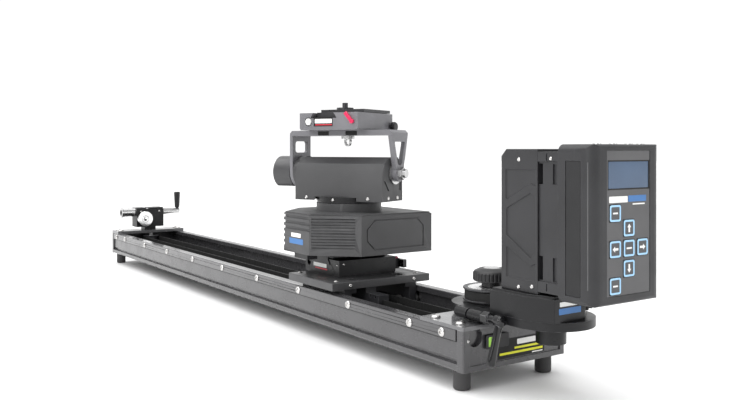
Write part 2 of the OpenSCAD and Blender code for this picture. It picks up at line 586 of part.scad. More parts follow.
// ---------- pan and tilt head ----------
module pan_outline(inset) polygon([[145 + inset, 65 - inset], [145 + inset, -28 + inset * 0.4],
    [185 + inset * 0.4, -68 + inset], [241 - inset * 0.4, -68 + inset], [281 - inset, -28 + inset * 0.4],
    [281 - inset, 65 - inset]]);
module pan_base() color("#454545") difference() {
    union() {
        up_z(pan_z0, pan_z1 - 1.5) pan_outline(0);
        up_z(pan_z1 - 1.5, pan_z1) pan_outline(1.5);
        rod_z(pan_x, 0, pan_z1, collar_top, 36.6);
    }
    up_z(pan_z0 + pan_wall, pan_z1 - pan_wall) pan_outline(pan_wall);
    up_z(pan_z0 - 1, pan_z0 + pan_wall + 1) pan_outline(pan_wall);
    rod_z(pan_x, 0, pan_z1 - 5, collar_top + 1, spindle_r + run_gap);
    translate([241, -68, 0]) rotate([0, 0, 45]) for (i = [0:10])
        box(2.5, 50, -1, 0.9, 79.4 + i * 3.04, 80.9 + i * 3.04);
    for (i = [0:5]) let (z = 78.4 + i * rib_pitch) {
        box(184, i < 3 ? 187 : 242, -69, -66.5, z, z + rib_pitch / 2);
        translate([145, -28, 0]) rotate([0, 0, -45]) box(4, 57.5, -1, 1.5, z, z + rib_pitch / 2);
    }
    along_x(280, 282) difference() {
        polygon([[-11.7, 110], [44.7, 110], [54, 101], [54, 78.5], [-11.7, 77.5], [-21.6, 87], [-21.6, 100]]);
        polygon([[-10.8, 108.4], [43.9, 108.4], [52.4, 100.2], [52.4, 80.1], [-11, 79.1], [-20, 87.7],
            [-20, 99.3]]);
    }
}
module pan_cover() color("#303030") difference() {
    union() {
        up_z(pan_z0, pan_z0 + pan_wall) pan_outline(pan_wall);
        box(203, 231, -64.5, -52, 66, pan_z0 + 1);
    }
    for (x = [160, 266]) rod_z(x, 50, pan_z0 - 1, pan_z0 + 1.5, 3);
}
module pan_motor() color("silver") {
    rod_z(pan_x, 0, pan_z0 + pan_wall, 98, 21);
    rod_z(pan_x, 0, 98, 104, 4);
}
module turntable() color("#333333") difference() {
    union() {
        rod_z(pan_x, 0, table_z, table_top, 36);
        rod_z(pan_x, 0, 99, table_z, spindle_r);
    }
    rod_z(pan_x, 0, 98, 105, 4 + run_gap);
}
module tilt_profile() polygon([[-28.5, body_z0], [-28.5, 156], [-23.5, 168.5], [-12.5, 175.5], [5.5, 175.5],
    [13.5, 168.5], [16.5, 156], [16.5, body_z0]]);
module tilt_body() color("#454545") head_frame() difference() {
    along_x(body_u0, body_u1) tilt_profile();
    rod_z(0, 0, body_z0 - 1, table_top, 39.5);
    rod_x(body_u0 - 1, 31, tilt_v, tilt_z, 15);
    rod_x(30, body_u1 + 1, tilt_v, tilt_z, 5.1);
    for (v = [-15, 5]) rod_x(body_u1 - 5, body_u1 + 1, v, 131, 2);
    along_x(body_u1 - 1.2, body_u1 + 1) {
        polygon([[-25, 150], [-22, 150], [-13, 139], [-16, 139]]);
        polygon([[9.5, 150], [12.5, 150], [12.5, 139], [9.5, 139]]);
    }
}
module tilt_motor() color("#3a3a3a") head_frame() {
    rod_x(body_u0, 30, tilt_v, tilt_z, 15);
    rod_x(-63.6, body_u0, tilt_v, tilt_z, 18.5);
    rod_x(-68.4, -63.6, tilt_v, tilt_z, 10);
    intersection() {
        rod_x(-92, -68.4, tilt_v, tilt_z, 18.5);
        along_x(-93, -68) polygon([[-30, 200], [30, 200], [30, 141.5], [-30, 141.5]]);
    }
}
module tilt_bolt() color("silver") head_frame() {
    rod_x(31, 75.2, tilt_v, tilt_z, 5);
    rod_x(body_u1 + 0.4, arm_u1, tilt_v, tilt_z, 12);
    translate([yoke_u1, tilt_v, tilt_z]) rotate([0, 90, 0]) cylinder(h = 5, r = 7, $fn = 6);
}
module motor_arm_profile() difference() {
    union() {
        translate([tilt_v - yoke_w / 2, tilt_z]) square([yoke_w, bridge_z + 1 - tilt_z]);
        translate([tilt_v, tilt_z]) circle(r = yoke_w / 2);
    }
    round_rect(tilt_v - 12, tilt_v + 12, 180.5, 193.5, 3.5);
}
module bolt_arm_profile() difference() {
    union() {
        translate([tilt_v, 0]) polygon([[-yoke_w / 2, bridge_z + 1], [yoke_w / 2, bridge_z + 1],
            [8.4, tilt_z + 4], [-8.4, tilt_z + 4]]);
        translate([tilt_v, tilt_z]) circle(r = 9);
    }
    translate([tilt_v, 0]) polygon([[-10.5, 192.5], [10.5, 192.5], [11.5, 191], [5.5, 172], [-5.5, 172],
        [-11.5, 191]]);
    translate([tilt_v, 172]) circle(r = 5.5);
}
module yoke() color("#3f3f3f") head_frame() difference() {
    union() {
        along_x(arm_u0, arm_u0 + arm_t) motor_arm_profile();
        along_x(arm_u1, yoke_u1) bolt_arm_profile();
        translate([0, tilt_v, 0]) along_y(-yoke_w / 2, yoke_w / 2) polygon([[arm_u0, bridge_z],
            [yoke_u1, bridge_z], [yoke_u1, bridge_top - 3], [yoke_u1 - 3, bridge_top],
            [arm_u0 + 3, bridge_top], [arm_u0, bridge_top - 3]]);
    }
    rod_x(arm_u0 - 1, arm_u0 + arm_t + 1, tilt_v, tilt_z, 10.05);
    rod_x(arm_u1 - 1, yoke_u1 + 1, tilt_v, tilt_z, 5);
    rod_z(cam_u, tilt_v, bridge_z - 1, bridge_top + 1, 3.2 + run_gap);
    for (u = [-29, 8]) box(u, u + 15, tilt_v - yoke_w / 2 - 1, tilt_v - yoke_w / 2 + 3, bridge_z - 1, 204.6);
}
module upper_qr_base() color("#3c3c3c") head_frame() difference() {
    qr_receiver(head_u0, head_u1, -head_half, head_half, bridge_top, head_top, head_u0 + 18, head_u1 - 31);
    rod_z(cam_u, tilt_v, bridge_top - 1, bridge_top + 7, 3.2 + run_gap);
    rod_y(-29, -head_half - 1, -head_half + 10.5, 214.7, 3.6 + run_gap);
    rod_y(-29, -head_half - 1, -head_half + 1.5, 214.7, 5.2);
    rod_y(28.5, -head_half - 1, -head_half + 9, 214.4, 2 + run_gap);
}
module upper_qr_plate() color("#2a2a2a") head_frame() {
    qr_dovetail(-30, 36, head_top, head_u0 + 18, head_u1 - 31, head_top + 0.6);
    box(head_u0 + 18, 33, -22, 36, head_top + 0.6, head_top + 4);
    rod_z(cam_u, cam_v, head_top + 4, head_top + 6.4, 9.5);
    rod_z(cam_u, cam_v, head_top + 6.4, head_top + 6.4 + stud_len, stud_r);
}
module upper_qr_lever() color("crimson") head_frame() {
    rod_y(28.5, -head_half - 3, -head_half + 8, 214.4, 2);
    translate([28.5, 0, 214.4]) rotate([0, -41, 0]) translate([-28.5, 0, -214.4]) {
        box(26.7, 30.3, -head_half - 3, -head_half - 0.4, 213, 227);
        rod_y(28.5, -head_half - 3, -head_half - 0.4, 214.4, 2.4);
    }
}
module upper_lock_button() color("white") head_frame() difference() {
    rod_y(-29, -head_half - 1, -head_half + 8, 214.7, 3.6);
    rod_y(-29, -head_half - 2, -head_half - 0.2, 214.7, 2.1);
}
module camera_screw() color("silver") head_frame() {
    rod_z(cam_u, tilt_v, bridge_z - 0.2, bridge_top + 6, 3.2);
    rod_z(cam_u, tilt_v, bridge_z - 3.4, bridge_z - 0.2, 7.5);
    translate([cam_u, tilt_v, 0]) rotate([0, 0, -20]) difference() {
        rod_y(0, -1.2, 1.2, bridge_z - 6.5, 5.6);
        rod_y(0, -2, 2, bridge_z - 7, 3.4);
    }
}

side_rails();
track_strips();
bed_screws();
bed_floor();
end_cap_near();
end_cap_far();
top_plate_near();
top_plate_far();
rubber_feet();
bubble_level();
drive_belt();
idler_axle();
idler_pulley();
drive_shaft();
input_pulley();
brake_knob();
motor_plate();
clamp_lever();
motor_box();
drive_motor();
motor_pinion();
short_belt();
bracket_body();
handset_mount();
handset_back();
handset_front();
lcd_screen();
key_menu();
key_up();
key_left();
key_enter();
key_right();
key_down();
key_shift();
clamp_block();
cross_shaft();
clamp_handle();
chrome_knob();
carriage_plate();
carriage_blocks();
roller_axles();
rollers_near();
rollers_far();
belt_clamp();
lower_qr_base();
lower_qr_plate();
lower_qr_lever();
pan_base();
pan_cover();
pan_motor();
turntable();
tilt_body();
tilt_motor();
tilt_bolt();
yoke();
upper_qr_base();
upper_qr_plate();
upper_qr_lever();
upper_lock_button();
camera_screw();
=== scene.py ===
"""Looks of the camera slider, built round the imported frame. Lengths are in metres, and the
numbers given to MM, scaled, bar and on_head are in millimetres."""
import json
import math

import bpy
from mathutils import Matrix, Vector


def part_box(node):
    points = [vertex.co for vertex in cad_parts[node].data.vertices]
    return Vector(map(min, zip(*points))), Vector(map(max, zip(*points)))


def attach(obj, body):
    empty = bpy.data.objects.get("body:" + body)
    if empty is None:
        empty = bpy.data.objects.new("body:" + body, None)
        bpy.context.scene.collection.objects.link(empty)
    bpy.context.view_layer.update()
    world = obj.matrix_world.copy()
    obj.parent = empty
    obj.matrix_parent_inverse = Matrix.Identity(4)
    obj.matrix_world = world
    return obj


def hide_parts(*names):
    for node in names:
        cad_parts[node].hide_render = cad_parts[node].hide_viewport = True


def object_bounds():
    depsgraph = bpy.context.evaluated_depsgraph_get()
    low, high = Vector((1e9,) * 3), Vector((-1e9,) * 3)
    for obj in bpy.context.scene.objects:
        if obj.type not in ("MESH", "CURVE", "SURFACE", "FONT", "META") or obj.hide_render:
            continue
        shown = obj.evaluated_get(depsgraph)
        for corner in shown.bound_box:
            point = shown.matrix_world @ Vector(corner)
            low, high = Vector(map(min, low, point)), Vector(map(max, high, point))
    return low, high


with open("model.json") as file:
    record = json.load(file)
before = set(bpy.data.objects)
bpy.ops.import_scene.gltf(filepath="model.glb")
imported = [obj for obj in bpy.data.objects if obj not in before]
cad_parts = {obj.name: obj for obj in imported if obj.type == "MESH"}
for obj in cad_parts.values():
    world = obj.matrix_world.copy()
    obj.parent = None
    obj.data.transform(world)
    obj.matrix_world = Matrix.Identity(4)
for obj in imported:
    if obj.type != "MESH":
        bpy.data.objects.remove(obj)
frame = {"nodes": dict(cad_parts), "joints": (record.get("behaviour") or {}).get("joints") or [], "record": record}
cad_lo, cad_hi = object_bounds()
NODES = frame["nodes"]
JOINTS = {joint["name"]: joint for joint in frame["joints"]}

MM = 0.001
X_AXIS = Vector((1, 0, 0))
Y_AXIS = Vector((0, 1, 0))
Z_AXIS = Vector((0, 0, 1))
PAD_LO, PAD_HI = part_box("handset_front")
PAN_POINT = Vector(JOINTS["pan"]["pos_m"])
DRIVE_POINT = Vector(JOINTS["drive_spin"]["pos_m"])
PINION_POINT = Vector(JOINTS["pinion_spin"]["pos_m"])
IDLER_POINT = Vector(JOINTS["idler_spin"]["pos_m"])
TILT_AXIS = Vector(JOINTS["tilt"]["axis"]).normalized()
CROSS_AXIS = Z_AXIS.cross(TILT_AXIS)

# Radii of the pulleys under their belts
BELT_PULLEY = 12 * MM
INPUT_PULLEY = 22.8 * MM
PINION_PULLEY = 9.5 * MM
INPUT_TEETH = 60
INDEX_MARKS = 36

# Rounding of small pieces and of printed marks
SMALL_EDGE = 0.08 * MM
PRINT_EDGE = 0.02 * MM
# How deep a printed mark reaches into its face, and how far the handset's foil stands proud
PRINT_ROOT = -0.05 * MM
FOIL = 0.12 * MM


# ---------- materials ----------
class Finish:
    """The node tree of one material, with short calls to add and join its nodes."""

    def __init__(self, name):
        self.material = bpy.data.materials.new(name)
        self.material.use_nodes = True
        self.tree = self.material.node_tree
        self.shader = self.tree.nodes["Principled BSDF"]
        self.place = self.add("ShaderNodeTexCoord").outputs["Object"]

    def add(self, kind, **settings):
        node = self.tree.nodes.new(kind)
        for key, value in settings.items():
            setattr(node, key, value)
        return node

    def join(self, output, socket):
        self.tree.links.new(output, socket)

    def stretched(self, scale):
        mapping = self.add("ShaderNodeMapping")
        mapping.inputs["Scale"].default_value = scale
        self.join(self.place, mapping.inputs["Vector"])
        return mapping.outputs["Vector"]

    def noise(self, scale, detail=3.0, vector=None):
        node = self.add("ShaderNodeTexNoise")
        node.inputs["Scale"].default_value = scale
        node.inputs["Detail"].default_value = detail
        self.join(self.place if vector is None else vector, node.inputs["Vector"])
        return node.outputs["Fac"]

    def remap(self, value, low, high, to_low=0.0, to_high=1.0):
        node = self.add("ShaderNodeMapRange")
        for socket, number in zip(("From Min", "From Max", "To Min", "To Max"),
                                  (low, high, to_low, to_high)):
            node.inputs[socket].default_value = number
        self.join(value, node.inputs["Value"])
        return node.outputs["Result"]

    def math(self, operation, first, second):
        node = self.add("ShaderNodeMath", operation=operation)
        for socket, value in zip(node.inputs, (first, second)):
            if isinstance(value, (int, float)):
                socket.default_value = value
            else:
                self.join(value, socket)
        return node.outputs[0]

    def mix(self, factor, first, second):
        node = self.add("ShaderNodeMix", data_type="RGBA")
        sockets = (node.inputs["Factor"], node.inputs[6], node.inputs[7])
        for socket, value in zip(sockets, (factor, first, second)):
            if isinstance(value, tuple):
                socket.default_value = (*value, 1.0)
            elif isinstance(value, (int, float)):
                socket.default_value = value
            else:
                self.join(value, socket)
        return node.outputs[2]

    def edges(self, radius):
        """1 along sharp outer edges, 0 on flat faces."""
        bevel = self.add("ShaderNodeBevel", samples=4)
        bevel.inputs["Radius"].default_value = radius
        geometry = self.add("ShaderNodeNewGeometry")
        dot = self.add("ShaderNodeVectorMath", operation="DOT_PRODUCT")
        self.join(bevel.outputs["Normal"], dot.inputs[0])
        self.join(geometry.outputs["Normal"], dot.inputs[1])
        return self.remap(dot.outputs["Value"], 0.985, 0.86)

    def bump(self, height, strength, distance):
        node = self.add("ShaderNodeBump")
        node.inputs["Strength"].default_value = strength
        node.inputs["Distance"].default_value = distance
        self.join(height, node.inputs["Height"])
        self.join(node.outputs["Normal"], self.shader.inputs["Normal"])


def shade(colour, factor):
    """A lighter or darker tone of a colour."""
    return tuple(min(1.0, channel * factor) for channel in colour)


def coated(name, colour, rough=0.45, metal=0.0, grain=1800.0, bump=0.15, mottle=0.12, rub_and_glint_colour=None,
           rub_and_glint_amount=0.5, drawn=None, coat=0.0, rough_spread=0.08, specular=0.5):
    """A painted, anodised, moulded or bare surface: mottled colour, fine grain and pale edges.
    grain is the scale of its fine noise, and drawn stretches that along X, Y and Z, as on an
    extruded rail. The edge colour is painted in patches along sharp edges, partly as rubbed
    metal and partly as a painted highlight."""
    f = Finish(name)
    vector = f.stretched(drawn) if drawn else None
    cloud = f.noise(22.0, 4.0)
    fine = f.noise(grain, 2.0, vector)
    tone = f.mix(f.remap(cloud, 0.3, 0.7), shade(colour, 1 - mottle), shade(colour, 1 + mottle))
    tone = f.mix(f.remap(fine, 0.35, 0.75, 0.0, 0.35), tone, shade(colour, 1 + 2.2 * mottle))
    if rub_and_glint_colour:
        # Patches of edge colour: partly rubbed metal, partly a painted highlight along the edges.
        rub_and_glint_patches = f.remap(f.noise(160.0, 5.0), 0.42, 0.62)
        edge = f.math("MULTIPLY", f.edges(0.5 * MM), f.math("MULTIPLY", rub_and_glint_patches, rub_and_glint_amount))
        tone = f.mix(edge, tone, rub_and_glint_colour)
    f.join(tone, f.shader.inputs["Base Color"])
    smudge = f.math("ADD", f.remap(f.noise(60.0, 5.0), 0.3, 0.7, -rough_spread, rough_spread),
                    f.remap(fine, 0.3, 0.7, rough - 0.03, rough + 0.03))
    f.join(smudge, f.shader.inputs["Roughness"])
    f.shader.inputs["Metallic"].default_value = metal
    f.shader.inputs["Coat Weight"].default_value = coat
    f.shader.inputs["Specular IOR Level"].default_value = specular
    f.bump(fine, bump, 0.05 * MM)
    return f.material


# Pale grey painted on sharp edges: partly bare metal where they rub, partly a painted highlight.
BARE_AND_GLINT = (0.55, 0.55, 0.57)
ALONG_BED = (0.08, 1, 1)
SURFACES = {
    "black_anodised": dict(
        colour=(0.026, 0.026, 0.029), rough=0.36, rub_and_glint_colour=BARE_AND_GLINT, rub_and_glint_amount=0.3, drawn=ALONG_BED,
        grain=2600.0, bump=0.12),
    "grey_black_anodised": dict(colour=(0.165, 0.163, 0.175), rough=0.36, rub_and_glint_colour=BARE_AND_GLINT, rub_and_glint_amount=0.4),
    "grey_anodised": dict(
        colour=(0.12, 0.12, 0.125), rough=0.24, metal=0.2, coat=0.5, rub_and_glint_colour=BARE_AND_GLINT, rub_and_glint_amount=0.6,
        drawn=ALONG_BED, grain=2600.0),
    "rail_anodised": dict(
        colour=(0.050, 0.049, 0.052), rough=0.26, rub_and_glint_colour=BARE_AND_GLINT, rub_and_glint_amount=0.3, drawn=ALONG_BED,
        grain=2600.0, bump=0.08, coat=0.4),
    "strip_anodised": dict(
        colour=(0.040, 0.039, 0.042), rough=0.22, rub_and_glint_colour=BARE_AND_GLINT, drawn=ALONG_BED, grain=2600.0,
        bump=0.06, coat=0.7),
    "cap_anodised": dict(
        colour=(0.055, 0.055, 0.057), rough=0.36, rub_and_glint_colour=BARE_AND_GLINT, rub_and_glint_amount=0.3, bump=0.12, specular=0.4),
    "black_paint": dict(
        colour=(0.010, 0.010, 0.011), rough=0.34, rub_and_glint_colour=BARE_AND_GLINT, rub_and_glint_amount=0.25, specular=0.3),
    "textured_plastic": dict(
        colour=(0.062, 0.062, 0.064), rough=0.50, grain=1500.0, bump=0.6, mottle=0.14,
        rub_and_glint_colour=(0.2, 0.2, 0.21), rub_and_glint_amount=0.35, specular=0.4),
    "case_plastic": dict(
        colour=(0.024, 0.024, 0.026), rough=0.42, grain=1300.0, bump=0.6, mottle=0.18,
        rub_and_glint_colour=(0.18, 0.18, 0.19), rub_and_glint_amount=0.35, specular=0.4),
    "knob_plastic": dict(
        colour=(0.014, 0.014, 0.015), rough=0.42, bump=0.2, rub_and_glint_colour=(0.15, 0.15, 0.16), rub_and_glint_amount=0.3,
        specular=0.4),
    # The lever's edges take the full edge colour, as a painted highlight along them.
    "lever_black": dict(
        colour=(0.006, 0.006, 0.007), rough=0.16, rub_and_glint_colour=BARE_AND_GLINT, rub_and_glint_amount=1.0, bump=0.03, coat=0.1,
        rough_spread=0.04, specular=0.4),
    "foot_rubber": dict(
        colour=(0.050, 0.049, 0.050), rough=0.65, grain=900.0, bump=0.5, rub_and_glint_colour=(0.08, 0.08, 0.08),
        specular=0.3),
    "grip_rubber": dict(
        colour=(0.020, 0.020, 0.021), rough=0.62, grain=900.0, bump=0.6, specular=0.3),
    "belt_rubber": dict(
        colour=(0.012, 0.012, 0.012), rough=0.70, grain=1400.0, bump=0.5, specular=0.3),
    "screw_steel": dict(colour=(0.62, 0.61, 0.60), rough=0.24, metal=1.0, bump=0.08, mottle=0.08),
    "steel": dict(colour=(0.55, 0.55, 0.55), rough=0.26, metal=1.0, bump=0.12, mottle=0.1),
    "roller_steel": dict(colour=(0.62, 0.62, 0.62), rough=0.25, metal=1.0, bump=0.08),
    "chrome": dict(
        colour=(0.80, 0.80, 0.80), rough=0.10, metal=1.0, bump=0.03, mottle=0.04,
        rough_spread=0.04),
    "index_silver": dict(colour=(0.86, 0.86, 0.86), rough=0.24, metal=0.9, bump=0.05, mottle=0.05),
    "pulley_brass": dict(colour=(0.55, 0.42, 0.18), rough=0.32, metal=1.0, bump=0.1),
    "level_green": dict(colour=(0.38, 0.80, 0.03), rough=0.18, bump=0.03, mottle=0.08, coat=0.5),
    "screen": dict(
        colour=(0.060, 0.100, 0.170), rough=0.16, bump=0.02, mottle=0.10, coat=0.1,
        rough_spread=0.03),
    "key_cap": dict(colour=(0.062, 0.064, 0.070), bump=0.3),
    "red_lever": dict(colour=(0.62, 0.012, 0.08), rough=0.32, rub_and_glint_colour=BARE_AND_GLINT, rub_and_glint_amount=0.4, coat=0.3),
    "white_ring": dict(colour=(0.85, 0.85, 0.83), rough=0.35, bump=0.1, mottle=0.04),
    "print_white": dict(colour=(0.85, 0.85, 0.83), rough=0.5, bump=0.1, mottle=0.05),
    "print_blue": dict(colour=(0.05, 0.17, 0.42), rough=0.5, bump=0.1, mottle=0.08),
    "print_sky": dict(colour=(0.36, 0.62, 0.86), rough=0.5, bump=0.1, mottle=0.05),
    "print_yellow": dict(colour=(0.78, 0.78, 0.02), rough=0.5, bump=0.1, mottle=0.06),
    "print_red": dict(colour=(0.60, 0.03, 0.05), rough=0.5, bump=0.1, mottle=0.06),
    "print_black": dict(colour=(0.006, 0.006, 0.006), rough=0.5, bump=0.1, specular=0.3),
    "panel_grey": dict(
        colour=(0.095, 0.095, 0.098), rough=0.48, grain=1500.0, bump=0.3, mottle=0.1, specular=0.4),
}
FINISHES = {name: coated(name, **settings) for name, settings in SURFACES.items()}
NODE_FINISH = {sub["node"]: sub["material_slot"] for sub in frame["record"]["subparts"]}
# Nodes that show another finish than their slot's usual one
SPECIAL_FINISH = {"handset_back": "case_plastic", "handset_front": "case_plastic",
                  "bracket_body": "case_plastic", "handset_mount": "case_plastic",
                  "motor_box": "black_paint", "motor_plate": "black_paint",
                  "lower_qr_base": "black_paint", "lower_qr_plate": "black_paint",
                  "clamp_block": "black_paint", "turntable": "black_paint",
                  "tilt_motor": "cap_anodised", "side_rails": "rail_anodised",
                  "end_cap_near": "rail_anodised", "end_cap_far": "rail_anodised",
                  "bubble_level": "knob_plastic", "track_strips": "strip_anodised",
                  "carriage_plate": "cap_anodised"}


# ---------- mesh tools ----------
def place_in_scene(name, data):
    obj = bpy.data.objects.new(name, data)
    bpy.context.scene.collection.objects.link(obj)
    return obj


def scaled(*points):
    """Points given in millimetres, as metres."""
    return [(x * MM, y * MM) for x, y in points]


def facing(point, direction, across=None):
    """A place whose own Z points along direction, and whose own X lies along across."""
    z = Vector(direction).normalized()
    x = Vector(across) if across is not None else (X_AXIS if abs(z.x) < 0.9 else Y_AXIS)
    x = (x - z * x.dot(z)).normalized()
    return Matrix.Translation(Vector(point)) @ Matrix((x, z.cross(x), z)).transposed().to_4x4()


def end_face(x, y=0, z=0):
    """A place on a face that looks along +X. Its own X is the slider's Y, and its Y is up."""
    return facing((x, y, z), X_AXIS, Y_AXIS)


def spun(place, step, count):
    """A place turned about its own Z by some of count equal steps."""
    return place @ Matrix.Rotation(math.tau * step / count, 4, "Z")


class Shape:
    """The vertices and faces of one piece, gathered from turned and cut forms."""

    def __init__(self):
        self.verts = []
        self.faces = []

    def add(self, verts, faces, place):
        start = len(self.verts)
        self.verts += [place @ Vector(v) for v in verts]
        self.faces += [[start + i for i in face] for face in faces]

    def turned(self, profile, place, steps=28):
        """profile is a list of (radius, height), from one end to the other. An end that lies on
        the axis closes the form."""
        verts, rings = [], []
        for radius, height in profile:
            if radius < 1e-7:
                rings.append([len(verts)])
                verts.append((0, 0, height))
                continue
            rings.append([len(verts) + i for i in range(steps)])
            verts += [(radius * math.cos(math.tau * i / steps),
                       radius * math.sin(math.tau * i / steps), height) for i in range(steps)]
        faces = []
        for low, high in zip(rings, rings[1:]):
            for i in range(steps):
                j = (i + 1) % steps
                corners = [low[i % len(low)], low[j % len(low)], high[j % len(high)],
                           high[i % len(high)]]
                faces.append(list(dict.fromkeys(corners)))
        self.add(verts, [f for f in faces if len(f) > 2], place)

    def cut(self, outline, low, high, place):
        """A flat outline in the place's own X and Y, between two heights."""
        count = len(outline)
        verts = [(x, y, z) for z in (low, high) for x, y in outline]
        faces = [list(range(count))[::-1], list(range(count, 2 * count))]
        faces += [[i, (i + 1) % count, count + (i + 1) % count, count + i] for i in range(count)]
        self.add(verts, faces, place)

    def ring(self, outer, inner, low, high, place):
        """A frame between two outlines with the same number of points."""
        count = len(outer)
        loops = [(outer, low), (outer, high), (inner, high), (inner, low)]
        verts = [(x, y, z) for outline, z in loops for x, y in outline]
        faces = []
        for k in range(4):
            for i in range(count):
                a, b = k * count, ((k + 1) % 4) * count
                faces.append([a + i, a + (i + 1) % count, b + (i + 1) % count, b + i])
        self.add(verts, faces, place)

    def lofted(self, sections):
        """A closed skin through outlines of the same length, given as points in space."""
        count = len(sections[0])
        verts = [corner for outline in sections for corner in outline]
        last = count * (len(sections) - 1)
        faces = [list(range(count))[::-1], [last + i for i in range(count)]]
        for k in range(len(sections) - 1):
            a, b = k * count, (k + 1) * count
            faces += [[a + i, a + (i + 1) % count, b + (i + 1) % count, b + i]
                      for i in range(count)]
        self.add(verts, faces, Matrix())

    def piece(self, name, finish, body, bevel=SMALL_EDGE, smooth=True):
        mesh = bpy.data.meshes.new(name)
        mesh.from_pydata(self.verts, [], self.faces)
        mesh.validate()
        obj = place_in_scene(name, mesh)
        mesh.materials.append(FINISHES[finish])
        mesh.shade_smooth()
        round_edges(obj, bevel, 2 if smooth else 1)
        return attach(obj, body)


def round_edges(obj, width, segments=2, weld=False):
    """Rounds sharp edges a little, as machining and moulding do, and shades the faces to suit."""
    if weld:
        obj.modifiers.new("weld", "WELD").merge_threshold = 1e-6
    bevel = obj.modifiers.new("edges", "BEVEL")
    bevel.width = width
    bevel.segments = segments
    bevel.limit_method = "ANGLE"
    bevel.angle_limit = math.radians(32)
    bevel.use_clamp_overlap = True
    bevel.miter_outer = "MITER_ARC"
    bevel.harden_normals = False
    obj.modifiers.new("shading", "WEIGHTED_NORMAL").weight = 60


def rounded(width, height, radius, steps=5, centre=(0, 0)):
    """Outline of a rectangle with round corners."""
    points = []
    corners = ((1, 1), (-1, 1), (-1, -1), (1, -1))
    for quarter, (sx, sy) in enumerate(corners):
        for i in range(steps + 1):
            angle = math.radians(90 * (quarter + i / steps))
            points.append((centre[0] + sx * (width / 2 - radius) + radius * math.cos(angle),
                           centre[1] + sy * (height / 2 - radius) + radius * math.sin(angle)))
    return points


def circle(radius, steps):
    return [(radius * math.cos(math.tau * i / steps), radius * math.sin(math.tau * i / steps))
            for i in range(steps)]


# ---------- the CAD pieces ----------
# Rounding of the sharp edges, in millimetres
OTHER_EDGE = 0.25
EDGE = {"side_rails": 0.35, "track_strips": 0.3, "handset_front": 0.9, "handset_back": 0.9,
        "pan_base": 0.7, "tilt_body": 0.9, "bracket_body": 0.5, "motor_box": 0.5, "yoke": 0.5,
        "lower_qr_base": 0.5, "upper_qr_base": 0.5, "carriage_plate": 0.5, "clamp_block": 0.6,
        "motor_plate": 0.4, "handset_mount": 0.4, "end_cap_near": 0.4, "end_cap_far": 0.4}


def dress_cad_pieces():
    """Gives every CAD node its finish and its rounded edges."""
    for name, node in NODES.items():
        finish = SPECIAL_FINISH.get(name, NODE_FINISH[name])
        node.data.materials.clear()
        node.data.materials.append(FINISHES[finish])
        node.data.shade_smooth()
        round_edges(node, EDGE.get(name, OTHER_EDGE) * MM, 2, weld=True)


# ---------- places on the object ----------
def on_head(u, v, z):
    """A point on the turned head: u along the tilt axis, v across it, z up, in millimetres."""
    base = Vector((PAN_POINT.x, PAN_POINT.y, 0))
    return base + (TILT_AXIS * u + CROSS_AXIS * v + Z_AXIS * z) * MM


def head_span(node_name, axis):
    """Least and greatest distance of a node from the pan axis, along an axis of the head, in mm."""
    values = [axis.dot(v.co - PAN_POINT) / MM for v in NODES[node_name].data.vertices]
    return min(values), max(values)


# ---------- screws and small hardware ----------
def screw(shape, point, direction, radius, proud=1.4):
    """A button head with a hexagonal socket."""
    steps = 24
    socket = radius * 0.5
    place = facing(point, direction)
    shape.turned([(0, -0.3 * MM), (radius, -0.3 * MM), (radius, proud * 0.35 * MM),
                  (radius * 0.82, proud * 0.8 * MM), (radius * 0.62, proud * MM),
                  (socket * 1.1, proud * MM)], place, steps)
    shape.turned([(socket, proud * MM), (socket, proud * 0.25 * MM), (0, proud * 0.25 * MM)],
                 place, 6)
    rim = circle(socket * 1.1, steps)
    shape.add([(x, y, proud * MM) for x, y in rim] + [(0, 0, proud * 0.2 * MM)],
              [[i, (i + 1) % steps, steps] for i in range(steps)], place)


def bed_hardware():
    """Bright screws of the bracket, the end cap and the far clamp."""
    shape = Shape()
    bracket_lo, bracket_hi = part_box("bracket_body")
    mount_lo, mount_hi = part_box("handset_mount")
    for x, z in ((bracket_lo.x + 20.6 * MM, bracket_hi.z - 8.5 * MM),
                 (bracket_lo.x + 20.2 * MM, bracket_lo.z + 3.3 * MM),
                 (bracket_hi.x - 6.1 * MM, bracket_lo.z + 5.4 * MM)):
        screw(shape, (x, bracket_lo.y, z), -Y_AXIS, 1.7 * MM, 0.9)
        screw(shape, (x, bracket_hi.y, z), Y_AXIS, 1.7 * MM, 0.9)
    mount_spot = (mount_lo.x + 14 * MM, mount_lo.y, mount_hi.z - 5.5 * MM)
    screw(shape, mount_spot, -Y_AXIS, 1.5 * MM, 0.8)
    cap_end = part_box("end_cap_near")[1].x
    for side in (-1, 1):
        screw(shape, (cap_end, side * 54.6 * MM, 26 * MM), X_AXIS, 1.3 * MM, 0.6)
    block_lo, block_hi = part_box("clamp_block")
    for y in (block_lo.y + 8 * MM, block_hi.y - 8 * MM):
        screw(shape, (block_hi.x - 0.2 * MM, y, block_lo.z + 33 * MM), X_AXIS, 1.8 * MM, 0.9)
    shape.piece("small_screws_bed", "screw_steel", "bed")


def bed_shadow_lines():
    """A thin black line of painted shadow under each wearing strip, where it stands proud of its rail."""
    lo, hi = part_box("track_strips")
    shadow_lines = Shape()
    for side in (-1, 1):
        place = facing((0, hi.y * side, lo.z), Y_AXIS * side, X_AXIS)
        low, high = -side * 0.05 * MM, -side * 0.6 * MM
        outline = [(lo.x, low), (hi.x, low), (hi.x, high), (lo.x, high)]
        shadow_lines.cut(outline, -0.3 * MM, 0.02 * MM, place)
    shadow_lines.piece("bed_shadow_lines", "print_black", "bed", 0.01 * MM, False)


